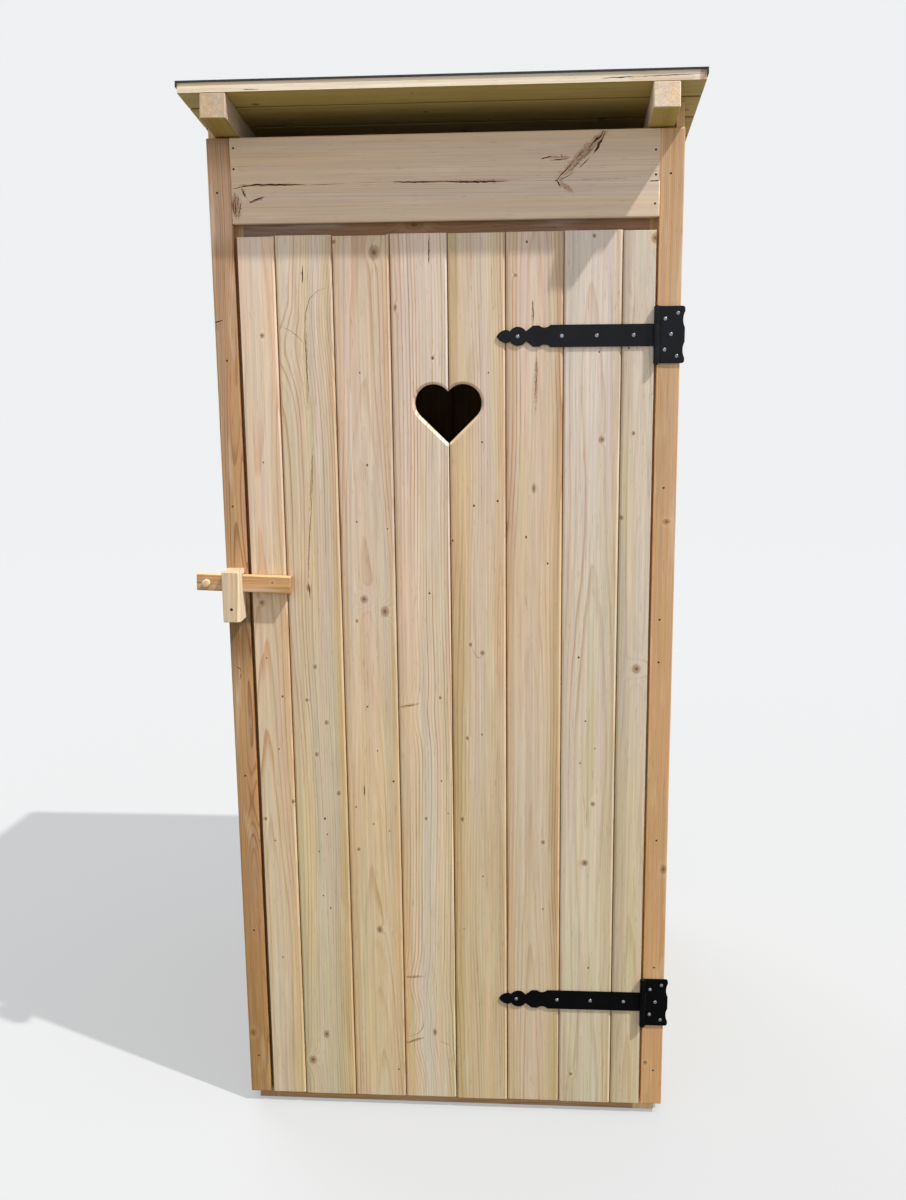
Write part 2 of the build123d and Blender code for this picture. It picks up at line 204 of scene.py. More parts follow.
tint = g.mix(g.math("MULTIPLY", late, given["Strength"]), given["Early"], given["Late"])
shade = g.math("MULTIPLY", g.math("SUBTRACT", streak, 0.5), 0.34)
shade = g.math("MULTIPLY_ADD", g.math("SUBTRACT", line, 0.5), 0.34, shade)
shade = g.math("MULTIPLY_ADD", g.math("SUBTRACT", fibre, 0.5), 0.42, shade)
shade = g.math("MULTIPLY_ADD", g.math("SUBTRACT", patch, 0.5), 0.2, shade)
mottle = given["Mottle"]
shade = g.math("MULTIPLY_ADD", shade, mottle, 1.0)
tint = g.vector("MULTIPLY", tint, g.join(shade, shade, shade))
hue = g.vector("SUBTRACT", stretched(0.016, 0.5, 2.0, True), (0.5, 0.5, 0.5))
hue = g.vector("MULTIPLY", hue, g.join(mottle, mottle, mottle))
hue = g.vector("MULTIPLY_ADD", hue, (0.2, 0.16, 0.36), (1.0, 1.0, 1.0))
tint = g.vector("MULTIPLY", tint, hue)
zone = g.join(g.math("MULTIPLY", rings, 0.12), seed, g.math("MULTIPLY", along, 0.5))
zone = g.noise(zone, 1.0, 1.0)
zone = g.mix(g.step(zone, 0.36, 0.6), (0.99, 1.01, 1.06, 1.0), (1.03, 0.98, 0.87, 1.0))
tint = g.vector("MULTIPLY", tint, g.mix(mottle, WHITE, zone))
smear = g.step(stretched(0.02, 0.2, 3.0), 0.54, 0.7)
tint = g.mix(g.math("MULTIPLY", smear, 0.3), tint, colour(222, 208, 190))
dash = g.step(stretched(0.0026, 0.03, 1.0), 0.66, 0.74)
tint = g.filter(tint, g.math("MULTIPLY", dash, 0.6), (0.78, 0.68, 0.55))

fray = g.math("MULTIPLY_ADD", stretched(0.004, 0.012, 2.0), 1.8, -0.9)
torn = g.step(g.math("ADD", given["Spike"], fray), 1.15, 0.5)
tint = g.mix(g.math("MULTIPLY", torn, 0.5), tint, colour(156, 106, 74))
veins = g.math("MULTIPLY", torn, g.step(g.noise(seeded, 300.0, 3.0), 0.5, 0.62))
tint = g.mix(g.math("MULTIPLY", veins, 0.5), tint, colour(104, 68, 46))
ragged = g.math("MULTIPLY_ADD", g.noise(seeded, 260.0, 2.0), 0.5, -0.25)
round_knot = g.math("ADD", knot, ragged)
body = g.step(round_knot, 1.25, 0.6)
rim = g.math("MULTIPLY", g.step(round_knot, 0.55, 0.95), g.step(round_knot, 1.25, 1.0))
core = g.step(round_knot, 0.7, 0.1)
pale = g.math("MULTIPLY", g.step(knot, 0.9, 1.5), g.step(knot, 3.0, 1.6))
tint = g.mix(g.math("MULTIPLY", pale, 0.1), tint, colour(226, 205, 180))
tint = g.mix(g.math("MULTIPLY", body, 0.66), tint, colour(156, 117, 82))
tint = g.mix(g.math("MULTIPLY", rim, 0.25), tint, colour(116, 82, 62))
tint = g.mix(g.math("MULTIPLY", core, 0.78), tint, colour(88, 62, 41))

pores = g.step(g.noise(seeded, 800.0, 2.0), 0.35, 0.65, 0.82, 1.0)
dull = g.join(pores, g.math("MULTIPLY", pores, 0.97), g.math("MULTIPLY", pores, 0.9))
tint = g.mix(given["End"], tint, g.vector("MULTIPLY", tint, dull))

height = g.math("MULTIPLY_ADD", late, 0.5, g.math("MULTIPLY", fibre, 0.6))
height = g.math("MULTIPLY_ADD", body, 0.5, height)
height = g.math("MULTIPLY_ADD", g.math("MULTIPLY", given["End"], pores), 0.8, height)
rough = g.math("MULTIPLY_ADD", fibre, 0.16, 0.52)
rough = g.math("MULTIPLY_ADD", given["End"], 0.12, rough)
close_group(g, {"Colour": tint, "Rough": rough, "Height": height})

# Scattered knots for a whole wall: the distance to the nearest one, in knot radii
knots_tree, g, given = make_group(
    "scattered_knots", (("Place", "v"), ("Seed", "f"), ("Cell", "v")), (("Knot", "f"),)
)
flat = g.vector("MULTIPLY", given["Place"], (1.0, 0.0, 1.0))
cell = g.vector("DIVIDE", flat, given["Cell"])
cell = g.vector("ADD", cell, g.join(given["Seed"], 0.0, g.math("MULTIPLY", given["Seed"], 2.7)))
spots = g.add("TexVoronoi", {"Vector": cell, "Scale": 1.0, "Randomness": 0.9})
away = g.vector("SUBTRACT", cell, spots.outputs["Position"])
away = g.vector("MULTIPLY", g.vector("MULTIPLY", away, given["Cell"]), (1.0, 0.0, 0.8))
size = g.math("POWER", g.split(spots.outputs["Color"])[0], 2.0)
size = g.math("MULTIPLY_ADD", size, 0.0055, 0.002)
close_group(g, {"Knot": g.math("DIVIDE", g.vector("LENGTH", away), size)})


def principled(name):
    """A new material, its graph and its shader."""
    material = bpy.data.materials.new(name)
    material.use_nodes = True
    tree = material.node_tree
    return material, Graph(tree), tree.nodes["Principled BSDF"]


def pine(name, axes, early, late, strength=0.5, spacing=4.5, pith=(0.02, -0.05), lean=(0.0, 0.012),
         joints=None, run=False, knots=(), spikes=(), bends=(), cell=None, seed=1.0, wander=1.0,
         fades=(), painted_underside_shade=None, flank=(1.04, 0.95, 0.76), bevel=(1.03, 0.98, 0.88), mottle=1.0,
         gap=0.0017, edging=None):
    """Pine with its grain along the last of three axes: across, depth and along, as unit vectors.

    early and late are a ring's two tones, strength the share of late, spacing the rings' width in
    millimetres and wander how crooked they run.
    pith is the place of the rings' middle, and lean how far it moves along the grain.
    joints is (place of one joint, cover), dark over the gap, and run says that the node is a run
    of such boards.
    knots, spikes and bends, which only turn the grain as a large knot does, list (across, along,
    radius, radius along, turn) in millimetres, and cell spreads knots by chance.
    fades list (axis, start, end, tint). The tint of faces that look down is painted shade and
    ground light under the part; flank is that of the sides, bevel that of sloping edges, edging
    that beside a joint, and mottle the contrast.
    """
    material, g, shader = principled(name)
    coordinates = g.add("TexCoord")
    spot = coordinates.outputs["Object"]
    normal = coordinates.outputs["Normal"]
    across, depth, along = (g.vector("DOT_PRODUCT", spot, axis) for axis in axes)
    own_seed = seed
    pith_x, pith_y = pith
    if joints:
        start, cover = joints
        order = g.math("DIVIDE", g.math("SUBTRACT", across, start), cover)
        nearest = g.math("FRACT", g.math("ADD", order, 0.5))
        nearest = g.math("ABSOLUTE", g.math("SUBTRACT", nearest, 0.5))
        nearest = g.math("MULTIPLY", nearest, cover)
    if run:
        index = g.math("FLOOR", order)
        across = g.math("MULTIPLY", g.math("SUBTRACT", g.math("FRACT", order), 0.5), cover)
        dice = g.add("TexWhiteNoise", {"W": g.math("ADD", index, seed)}, noise_dimensions="1D")
        red, green, blue = g.split(dice.outputs["Color"])
        own_seed = g.math("MULTIPLY_ADD", dice.outputs["Value"], 40.0, seed)
        pith_x = g.math("MULTIPLY_ADD", red, 0.12, -0.06)
        pith_y = g.math("MULTIPLY_ADD", green, -0.06, pith[1])
    place = g.join(across, depth, along)
    turning = [listed for listed in knots if TURNING_KNOTS[0] < listed[2] < TURNING_KNOTS[1]]
    marks = []
    for rows in (knots, spikes, (*bends, *turning)):
        mark = BEYOND
        for x, z, wide, high, turn in rows:
            local = g.add("Mapping", {
                "Vector": place,
                "Location": (x * MM, 0.0, z * MM),
                "Rotation": (0.0, math.radians(turn), 0.0),
                "Scale": (wide * MM, 1.0, high * MM),
            }, vector_type="TEXTURE").outputs[0]
            local = g.vector("MULTIPLY", local, (1.0, 0.0, 1.0))
            mark = g.math("MINIMUM", mark, g.vector("LENGTH", local))
        marks.append(mark)
    knot, spike, bend = marks
    if cell:
        spread = {"Place": place, "Seed": own_seed, "Cell": (cell[0], 1.0, cell[1])}
        knot = g.math("MINIMUM", knot, g.use(knots_tree, spread).outputs[0])
    turned = g.math("ABSOLUTE", g.vector("DOT_PRODUCT", normal, axes[2]))
    end = g.step(turned, 0.7, 0.9)
    wood = g.use(pine_tree, {
        "Place": place, "Seed": own_seed, "Pith": g.join(pith_x, pith_y, 0.0),
        "Lean": (lean[0], lean[1], 0.0), "Spacing": spacing * MM, "Knot": knot, "Spike": spike,
        "Bend": bend, "Wander": wander, "End": end, "Early": colour(*early),
        "Late": colour(*late), "Strength": strength, "Mottle": mottle,
    })
    tint = wood.outputs["Colour"]
    if run:
        tone = g.math("MULTIPLY_ADD", blue, 0.16, 0.92)
        yellow = g.math("MULTIPLY", tone, g.math("MULTIPLY_ADD", green, 0.1, 0.95))
        tint = g.vector("MULTIPLY", tint, g.join(tone, tone, yellow))
    frontal = g.math("ABSOLUTE", g.vector("DOT_PRODUCT", normal, axes[1]))
    edge = g.math("MULTIPLY", g.step(frontal, 0.92, 0.8), g.math("SUBTRACT", 1.0, end))
    side = g.mix(g.step(frontal, 0.4, 0.2), (*bevel, 1.0), (*flank, 1.0))
    side = g.mix(g.step(turned, 0.06, 0.2), side, (1.14, 1.12, 1.08, 1.0))
    tint = g.vector("MULTIPLY", tint, g.mix(edge, WHITE, side))
    if joints:
        dark = g.math("MULTIPLY", g.step(nearest, gap, gap * 0.4), g.step(frontal, 0.3, 0.6))
        if edging:
            beside = g.math("MULTIPLY", g.step(nearest, *EDGE_REACH), g.step(frontal, 0.9, 0.97))
            tint = g.filter(tint, beside, edging)
        tint = g.filter(tint, dark, GAP_TINT)
    for axis, start, end, through in fades:
        tint = g.filter(tint, g.step(g.split(spot)[axis], start, end), through)
    # Painted shade and ground light: faces that look down take a darker, olive tint
    if painted_underside_shade:
        tint = g.filter(tint, g.step(g.split(normal)[2], -0.3, -0.6), painted_underside_shade)
    g.tree.links.new(tint, shader.inputs["Base Color"])
    g.tree.links.new(wood.outputs["Rough"], shader.inputs["Roughness"])
    bump = g.add("Bump", {"Strength": 0.5, "Distance": 0.0006, "Height": wood.outputs["Height"]})
    g.tree.links.new(bump.outputs[0], shader.inputs["Normal"])
    shader.inputs["Specular IOR Level"].default_value = 0.3
    return material


# Grain directions: across, depth and along
X = (1, 0, 0)
Y = (0, 1, 0)
Z = (0, 0, 1)
fall = (0.0, math.cos(PITCH), -math.sin(PITCH))
roof_up = (0.0, math.sin(PITCH), math.cos(PITCH))
upright_front = (X, Y, Z)
upright_side = (Y, X, Z)
level_front = (Z, Y, X)
level_side = (Z, X, Y)
roof_run = (fall, roof_up, X)
rafter_run = (X, roof_up, fall)


def dress(names, material):
    for name in names:
        mesh = nodes[name].data
        mesh.materials.clear()
        mesh.materials.append(material)


# Door boards, from the bolt side: tones, pith and knots follow the photograph
door_boards = (
    # early, late, strength, spacing, pith across, pith depth, lean across, lean depth, knots
    ((209, 187, 171), (182, 134, 96), 0.85, 5.0, -375, -40, 0.004, 0.014,
     ((-357, 1664, 4.5, 5, 0), (-380, 1132, 5, 6, 0), (-331, 705, 4, 5, 0), (-391, 666, 3, 4, 0))),
    ((206, 186, 163), (176, 130, 92), 0.85, 5.0, -338, -24, 0.003, 0.006,
     ((-283, 1163, 3.5, 7, 0), (-275, 998, 4, 5, 0), (-294, 927, 3.5, 4, 0), (-255, 879, 4, 5, 0),
      (-278, 810, 3.5, 5, 0), (-234, 725, 4, 5, 0), (-277, 169, 6, 9, 0), (-309, 106, 8, 9, 0))),
    ((210, 187, 167), (172, 124, 86), 0.9, 4.4, -158, -42, 0.0, 0.022,
     ((-134, 1817, 9.2, 13, 0), (-211, 1838, 4, 4, 0), (-170, 1140, 7, 8, 0),
      (-128, 1115, 8, 10, 0), (-186, 1095, 3, 4, 0), (-195, 601, 3.5, 4, 0),
      (-154, 419, 6, 7, 0))),
    ((212, 193, 178), (172, 124, 88), 1.0, 6.0, -112, -12, 0.0, 0.004,
     ((-95, 1714, 3, 6, 0), (-24, 1619, 3, 4, 0), (-18, 935, 3, 4, 0), (-51, 672, 3, 4, 0),
      (-39, 181, 4, 8, 0))),
    ((207, 184, 163), (178, 136, 96), 0.75, 5.0, -6, -36, 0.002, 0.006,
     ((45, 1047, 3.5, 4.5, 0), (69, 1030, 4.5, 5, 0), (37, 849, 3.5, 4, 0), (25, 672, 4, 5, 0))),
    ((209, 186, 169), (172, 126, 88), 1.0, 5.0, 176, -25, 0.0, 0.015,
     ((137, 1771, 3, 3.5, 0), (172, 1364, 4, 9, 0), (193, 624, 4, 4.5, 0))),
    ((212, 193, 174), (184, 150, 114), 0.75, 5.5, 290, -70, 0.003, 0.012,
     ((285, 1841, 3.5, 4, 0), (304, 1459, 5.5, 6, 0), (295, 710, 4.5, 5, 0), (280, 580, 6, 7, 0),
      (255, 91, 3.5, 4, 0))),
    ((208, 189, 165), (184, 148, 112), 0.75, 5.0, 372, -38, 0.002, 0.012,
     ((399, 1835, 7, 9, 0), (365, 1471, 3, 4, 0), (379, 999, 8, 9, 0), (344, 1306, 4, 5, 0))),
)
spikes = {
    2: ((-271, 1600, 1.8, 90, 1), (-270, 1380, 2.2, 70, 5), (-279, 1240, 1.8, 80, 4)),
    4: ((-84, 917, 24, 3.2, -12), (-84, 311, 24, 2.6, -4), (-84, 160, 22, 3.2, -18)),
    6: ((176, 1572, 3.5, 60, 0), (169, 1700, 2.2, 30, 2)),
}
bends = {
    2: ((-215, 1700, 30, 40, 0), (-325, 1640, 34, 30, 0)),
    4: ((-112, 900, 30, 22, 0), (-112, 290, 30, 22, 0), (-112, 150, 30, 22, 0)),
}
# Tints along all boards, beside their joints, and across or along single boards of the door
# Darker and more olive towards the bottom, bluer from 1.1 m up
height_tints = ((2, 1.8, 0.1, (0.84, 0.87, 0.76)), (2, 1.1, 1.75, (1.0, 1.03, 1.12)))
edging = (0.92, 0.87, 0.77)
board_fades = {
    1: ((0, -0.352, -0.335, (1.1, 1.11, 1.12)),),
    2: ((0, -0.29, -0.315, (1.01, 1.07, 1.2)),),
    3: ((2, 1.2, 1.7, (0.98, 0.93, 0.82)),),
    4: ((0, -0.06, -0.1, (1.04, 0.95, 0.86)), (0, -0.03, 0.0, (1.03, 1.1, 1.22))),
    5: ((0, 0.06, 0.015, (0.9, 0.92, 0.86)), (0, 0.093, 0.11, (1.06, 1.08, 1.18))),
    6: ((0, 0.185, 0.22, (0.95, 0.91, 0.84)),),
    7: ((0, 0.255, 0.235, (1.07, 1.08, 1.18)),),
    8: ((0, 0.375, 0.345, (0.9, 0.92, 0.95)), (2, 1.45, 1.1, (1.0, 1.01, 1.1))),
}
for order, row in enumerate(door_boards, 1):
    early, late, strength, spacing, pith_x, pith_y, lean_x, lean_y, knots = row
    material = pine(
        f"door_pine_{order}", upright_front, early, late, strength, spacing,
        (pith_x * MM, (FRONT - pith_y) * MM), (lean_x, lean_y), joints=(0.0065, COVER * MM),
        knots=knots, spikes=spikes.get(order, ()), bends=bends.get(order, ()), seed=order * 3.7,
        fades=height_tints + board_fades.get(order, ()), edging=edging,
    )
    dress([f"door_board_{order}"], material)

# Walls: the place of one joint of each, in mm, also guides the nails
wall_joints = {"left_wall": 57.5, "right_wall": 58.5, "back_wall": 55}
wall_early = (207, 184, 156)
wall_late = (184, 146, 108)
for name, axes, pith, seed in (
    ("left_wall", upright_side, (0.0, 0.03), 9.0),
    ("right_wall", upright_side, (0.0, 0.03), 10.0),
    ("back_wall", upright_front, (0.0, 0.53), 9.0),
):
    wall = pine(
        f"{name}_pine", axes, wall_early, wall_late, 0.55, 5.0, pith, (0.0, 0.02),
        joints=(wall_joints[name] * MM, COVER * MM), run=True, cell=(0.06, 0.4), seed=seed,
        fades=height_tints[:1], edging=edging,
    )
    dress([name], wall)
header = pine(
    "header_pine", level_front, (212, 190, 172), (178, 140, 110), 0.55, 3.2, (1.965, -0.49),
    (-0.01, 0.0), spikes=(
        (1985, 258, 62, 9.5, -46), (2013, 288, 22, 9, -50), (1906, -397, 26, 10, 6),
        (1931, -381, 12, 3, 25), (1917, -357, 3, 15, 20), (1930, 231, 18, 6, 50),
        (1983, 214, 3, 24, 0), (1944, -330, 2.5, 70, 0), (1944, 30, 2.5, 120, 0),
        (1943, 300, 1, 60, 0),
    ), seed=5.0, wander=0.15, mottle=0.5,
    fades=((2, 1.93, 2.02, (1.0, 0.98, 0.94)), (0, 0.1, -0.3, (1.0, 0.97, 0.93))),
)
dress(["header_board"], header)
trim_left = pine(
    "left_trim_pine", upright_front, (176, 139, 106), (112, 70, 42), 1.0, 3.4, (-0.415, -0.485),
    (0.0, 0.006), knots=((-440, 168, 6, 8, 0),), bends=((-412, 700, 14, 30, 0),
    (-415, 400, 14, 30, 0)), seed=2.0, wander=2.0, mottle=1.1,
    fades=(
        # Darker towards the bottom; paler from 1.81 m to 2.01 m: painted light where the roof's
        # shadow falls; darker from 2.005 m: painted shade under the roof; a dark band from 0.94 m
        # to 1.16 m: painted shadow below the keeper
        (2, 1.2, 0.1, (0.8, 0.73, 0.48)), (2, 1.81, 1.87, (1.33, 1.38, 1.55)),
        (2, 1.95, 2.01, (0.74, 0.72, 0.64)), (2, 2.005, 2.03, (0.75, 0.75, 0.75)),
        (2, 0.94, 1.07, (0.52, 0.49, 0.4)), (2, 1.12, 1.16, (1.92, 2.04, 2.5)),
    ),
)
dress(["front_trim_left"], trim_left)
trim_right = pine(
    "right_trim_pine", upright_front, (197, 160, 125), (166, 118, 78), 0.7, 3.2, (0.5, -0.46),
    (0.0, 0.003), knots=((432, 1298, 7, 5, 0), (443, 569, 6, 9, 0), (414, 124, 4, 5, 0)), seed=6.0,
    # Darker towards the bottom; the inner side face beside the hinge-side gap is paler: painted
    # light in the gap
    fades=((2, 1.8, 0.2, (0.9, 0.85, 0.72)), (0, 0.4095, 0.4068, (1.6, 1.6, 1.5))),
)
dress(["front_trim_right"], trim_right)
frame_early = (176, 142, 106)
frame_late = (138, 98, 64)
uprights = pine(
    "post_pine", upright_front, frame_early, frame_late, 0.6, 3.6, (0.3, 0.3), (0.002, 0.002),
    cell=(0.2, 0.35), seed=8.0,
)
dress([name for name in nodes if name.startswith("post_")], uprights)
# The post behind the hinge-side gap is paler than the others up to the door's top: painted light in
# the shaded gap; above it the post keeps the usual tone
gap_light_post = pine(
    "gap_light_post_pine", upright_front, (228, 192, 148), (192, 150, 108), 0.6, 3.6, (0.3, 0.3),
    (0.002, 0.002), cell=(0.2, 0.35), seed=8.0, fades=((2, 1.842, 1.852, (0.56, 0.5, 0.42)),),
)
dress(["post_front_right"], gap_light_post)
cross_rails = pine(
    "cross_rail_pine", level_front, frame_early, frame_late, 0.6, 3.6, (0.3, 0.3), (0.002, 0.002),
    cell=(0.2, 0.35), seed=12.0,
)
dress(["sill_rail", "bottom_rail_back", "mid_rail_back", "back_top_rail"], cross_rails)
# The rail behind the header is darker than the other frame timbers: painted shade in the narrow gap
# under the header
header_rail = pine(
    "header_rail_pine", level_front, (150, 116, 88), (106, 70, 50), 0.7, 3.0, (1.9, -0.4),
    (0.002, 0.0), knots=((1868, -58, 8, 16, 0),), seed=13.0, wander=2.0,
    fades=((0, -0.1, -0.33, (0.86, 0.98, 1.35)), (0, -0.02, 0.2, (0.88, 0.94, 1.08))),
)
dress(["header_rail"], header_rail)
side_rails = pine(
    "side_rail_pine", level_side, frame_early, frame_late, 0.6, 3.6, (0.3, 0.3), (0.002, 0.002),
    cell=(0.2, 0.35), seed=15.0,
)
dress(
    ["bottom_rail_left", "bottom_rail_right", "mid_rail_left", "mid_rail_right", "floor_joist"],
    side_rails,
)
floor = pine(
    "floor_pine", (Y, Z, X), (196, 168, 134), (170, 128, 90), 0.55, 4.5, (0.0, -0.04), (0.0, 0.02),
    joints=(0.0025, 0.121), run=True, cell=(0.06, 0.3), seed=21.0,
)
dress(["floor_boards"], floor)
ledges = pine(
    "ledge_pine", level_front, (203, 176, 144), (180, 138, 100), 0.5, 4.5, (1.0, -0.4), (0.0, 0.0),
    cell=(0.09, 0.3), seed=24.0,
)
dress(["door_ledge_upper", "door_ledge_lower"], ledges)
deck = pine(
    "roof_pine", roof_run, (214, 190, 158), (190, 152, 108), 0.5, 4.5, (0.0, 2.0), (0.0, 0.02),
    joints=(-0.8348, COVER * MM), run=True, cell=(0.06, 0.45), seed=31.0,
    painted_underside_shade=(0.69, 0.65, 0.32), flank=(1.03, 1.09, 1.26), gap=0.0055,
)
dress(["roof_deck"], deck)
# The left rafter is painted darker and the right one paler: painted shade on the left one and
# painted sunlight on the right one
for side, early in (("left", (188, 168, 146)), ("right", (216, 196, 176))):
    rafter = pine(
        f"{side}_rafter_pine", rafter_run, early, (176, 138, 104), 0.6, 3.2, (0.0, 2.0), (0.0, 0.0),
        cell=(0.2, 0.35), seed=35.0, painted_underside_shade=(0.66, 0.58, 0.2), flank=(1.02, 1.0, 0.94),
    )
    dress([f"rafter_{side}"], rafter)
# Sides and arrises paler than the front: painted highlight on them
keeper = pine(
    "keeper_pine", upright_front, (200, 180, 158), (178, 148, 118), 0.6, 3.0, (-0.43, -0.62),
    (0.0, 0.0), seed=41.0, flank=(1.22, 1.28, 1.36), bevel=(1.14, 1.2, 1.28),
)
dress(["latch_keeper"], keeper)
peg = pine(
    "peg_pine", (X, Z, Y), (216, 190, 156), (194, 158, 120), 0.5, 2.0, (-0.48, 1.2), (0.0, 0.0),
    seed=43.0,
)
dress(["latch_peg"], peg)
# Sides and arrises much paler than the front: painted highlight on them
bar = pine(
    "bar_pine", level_front, (188, 143, 97), (104, 60, 32), 1.9, 3.2, (1.16, -0.47), (0.01, 0.0),
    knots=((1178, -352, 2.5, 3, 0),), seed=45.0, wander=2.0, flank=(1.35, 1.75, 2.1),
    bevel=(1.2, 1.45, 1.6), mottle=1.3,
)
dress(["latch_bar"], bar)


# Steel, felt and fastenings

def simple(name, tone, other, scale, rough, metal=0.0, bump=0.3, distance=0.0003, specular=0.5):
    """A mottled material: two tones, a roughness range and a fine bump from one noise."""
    material, g, shader = principled(name)
    spot = g.add("TexCoord").outputs["Object"]
    grain = g.noise(spot, scale, 3.0)
    cloud = g.noise(spot, scale * 0.06, 2.0)
    tint = g.mix(g.step(cloud, 0.35, 0.65), colour(*tone), colour(*other))
    tint = g.mix(g.math("MULTIPLY", g.step(grain, 0.5, 0.75), 0.5), tint, colour(*other))
    g.tree.links.new(tint, shader.inputs["Base Color"])
    g.tree.links.new(g.step(grain, 0.2, 0.8, rough[0], rough[1]), shader.inputs["Roughness"])
    relief = g.add("Bump", {"Strength": bump, "Distance": distance, "Height": grain})
    g.tree.links.new(relief.outputs[0], shader.inputs["Normal"])
    shader.inputs["Metallic"].default_value = metal
    shader.inputs["Specular IOR Level"].default_value = specular
    return material


black = simple("black_paint", (10, 11, 16), (15, 16, 22), 420.0, (0.36, 0.5), specular=0.2)
dress(["hinge_strap_upper", "hinge_plate_upper", "hinge_pins"], black)
# The lower hinge takes a darker, duller copy of the hinge paint: painted shade on the lower hinge
painted_shade_black = simple("lower_hinge_painted_shade", (3, 3, 4), (6, 6, 7), 420.0, (0.55, 0.75), specular=0.05)
dress(["hinge_strap_lower", "hinge_plate_lower"], painted_shade_black)
felt = simple("felt", (34, 34, 36), (46, 46, 48), 2600.0, (0.8, 0.98), bump=0.7, distance=0.0004)
dress(["roof_felt"], felt)

zinc = simple("zinc", (158, 160, 166), (118, 120, 128), 700.0, (0.28, 0.5), metal=1.0)
nail_steel = simple("nail_steel", (58, 48, 42), (36, 30, 28), 900.0, (0.5, 0.8), metal=0.4)
# Dark faces inside the cracks: painted shade in the cracks
crack_painted_shade = simple("crack_painted_shade", (96, 66, 46), (56, 37, 26), 300.0, (0.8, 0.95))
knot_wood = simple("pin_knot", (104, 76, 56), (70, 48, 36), 1500.0, (0.6, 0.8))


# Geometry of the pieces that the solids leave out

body_of = {}
for body, members in frame["record"]["behaviour"]["bodies"].items():
    body_of.update(dict.fromkeys(members, body))


def piece(name, bm, materials, body, crease=35.0, flat=1.0):
    """A new visible piece, smooth up to the crease angle apart from faces larger than flat."""
    mesh = bpy.data.meshes.new(name)
    bm.to_mesh(mesh)
    bm.free()
    for material in materials:
        mesh.materials.append(material)
    mesh.shade_smooth()
    mesh.set_sharp_from_angle(angle=math.radians(crease))
    for polygon in mesh.polygons:
        polygon.use_smooth = polygon.area < flat
    made = bpy.data.objects.new(name, mesh)
    bpy.context.scene.collection.objects.link(made)
    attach(made, body)
    return made


def carved(bm, cutter, index=0):
    """The bmesh with the closed cutter taken out, the cut in the material slot of that index."""
    objects = []
    for face in cutter.faces:
        face.material_index = index
    for source in (bm, cutter):
        mesh = bpy.data.meshes.new("carving")
        mesh.materials.append(zinc)
        mesh.materials.append(crack_painted_shade)
        bmesh.ops.recalc_face_normals(source, faces=source.faces)
        source.to_mesh(mesh)
        source.free()
        made = bpy.data.objects.new("carving", mesh)
        bpy.context.scene.collection.objects.link(made)
        objects.append(made)
    body, tool = objects
    modifier = body.modifiers.new("cut", "BOOLEAN")
    modifier.object = tool
    modifier.operation = "DIFFERENCE"
    modifier.solver = "EXACT"
    modifier.use_self = True
    graph = bpy.context.evaluated_depsgraph_get()
    result = bmesh.new()
    result.from_mesh(body.evaluated_get(graph).to_mesh())
    for made in objects:
        mesh = made.data
        bpy.data.objects.remove(made)
        bpy.data.meshes.remove(mesh)
    return result


def cracks(lines, face):
    """Closed V-shaped blades along polylines of a front face: (points, width, depth), in mm.

    Each blade starts proud of the face and has a station every spacing.
    """
    spacing = 5
    proud = -1.0
    bm = bmesh.new()
    for points, width, depth in lines:
        stations = []
        for (x0, z0), (x1, z1) in zip(points, points[1:]):
            count = max(2, int(math.dist((x0, z0), (x1, z1)) / spacing))
            stations += [
                (x0 + (x1 - x0) * i / count, z0 + (z1 - z0) * i / count) for i in range(count)
            ]
        stations.append(points[-1])
        rings = []
        last = len(stations) - 1
        for i, (x, z) in enumerate(stations):
            before = stations[max(i - 1, 0)]
            after = stations[min(i + 1, last)]
            run = Vector((after[0] - before[0], after[1] - before[1])).normalized()
            swell = max(0.06, math.sin(math.pi * min(i, last - i) / last) ** 0.6)
            half = width / 2 * swell * rng.uniform(0.65, 1.2)
            jog = rng.uniform(-0.2, 0.2) * width * (0 < i < last)
            side = Vector((-run.y, run.x))
            middle = Vector((x, z)) + side * jog
            deep = depth * max(swell, 0.25)
            rings.append([
                bm.verts.new(Vector((spot[0], face + y, spot[1])) * MM)
                for spot, y in (
                    (middle - side * half * 1.15, proud), (middle + side * half * 1.15, proud),
                    (middle, deep),
                )
            ])
        for one, two in zip(rings, rings[1:]):
            for k in range(3):
                bm.faces.new((one[k], one[(k + 1) % 3], two[(k + 1) % 3], two[k]))
        bm.faces.new(rings[0][::-1])
        bm.faces.new(rings[-1])
    bmesh.ops.recalc_face_normals(bm, faces=bm.faces)
    return bm


def soften(name, width, lines=(), face=FRONT, segments=2):
    """Stands for a CAD node with its arrises rounded and its cracks opened."""
    bm = bmesh.new()
    bm.from_mesh(nodes[name].data)
    bmesh.ops.remove_doubles(bm, verts=bm.verts, dist=1e-6)
    bmesh.ops.dissolve_limit(bm, angle_limit=math.radians(1.0), verts=bm.verts, edges=bm.edges)
    if width:
        sharp = [
            edge for edge in bm.edges
            if len(edge.link_faces) == 2 and edge.calc_face_angle() > math.radians(38)
        ]
        bmesh.ops.bevel(
            bm, geom=sharp, offset=width * MM, offset_type="OFFSET", segments=segments, profile=0.5,
            affect="EDGES", clamp_overlap=True,
        )
    materials = [nodes[name].data.materials[0]]
    if lines:
        bm = carved(bm, cracks(lines, face), 1)
        materials.append(crack_painted_shade)
    softened = piece(name + "_eased", bm, materials, body_of[name], 30.0, 1.5e-4)
    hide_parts(name)


